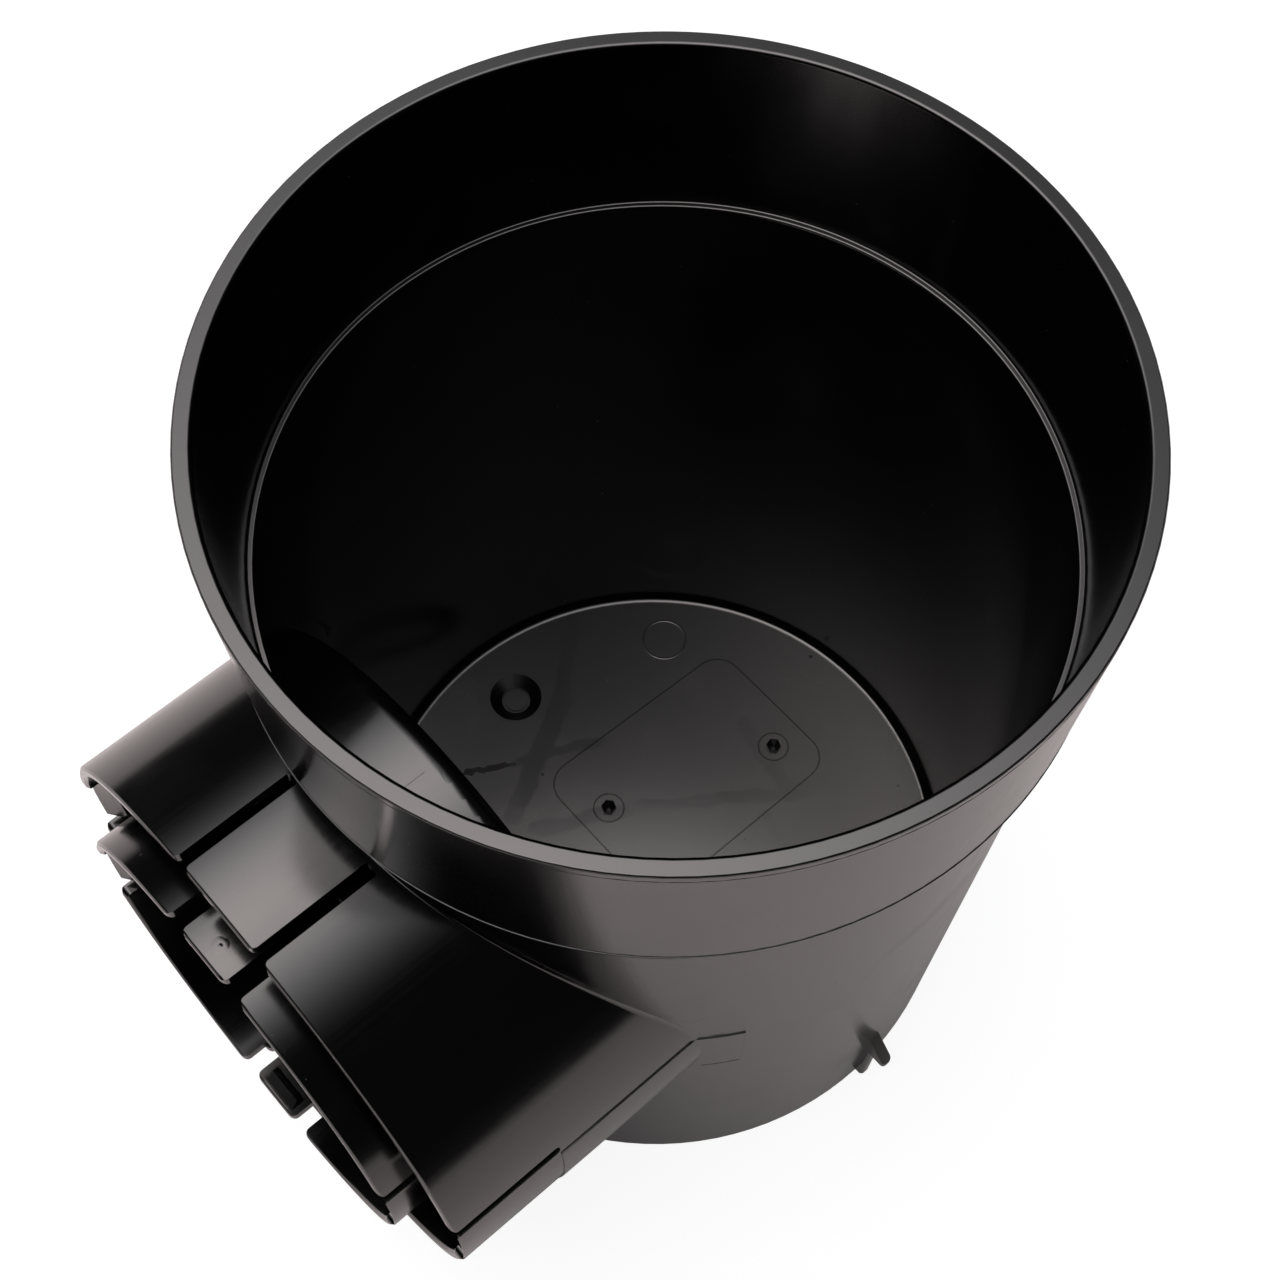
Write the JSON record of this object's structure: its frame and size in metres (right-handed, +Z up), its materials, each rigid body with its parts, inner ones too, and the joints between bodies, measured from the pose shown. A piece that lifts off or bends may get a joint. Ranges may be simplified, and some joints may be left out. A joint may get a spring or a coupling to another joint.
{
  "type": "catch basin",
  "caption": "Round black plastic drain basin, tapered and open at the top, with a grate ledge inside its collar and a stepped, slotted pipe hub in its side.",
  "frame": {"origin": "centre of the base, on the basin's axis, at the level of the foot ring", "axes": "+Z up along the basin's axis, +X out along the pipe hub"},
  "size_m": [0.1773, 0.1524, 0.1861],
  "materials": {
    "black_plastic": "semi-gloss moulded"
  },
  "bodies": {
    "root": {"basin": "black_plastic"}
  },
  "joints": []
}
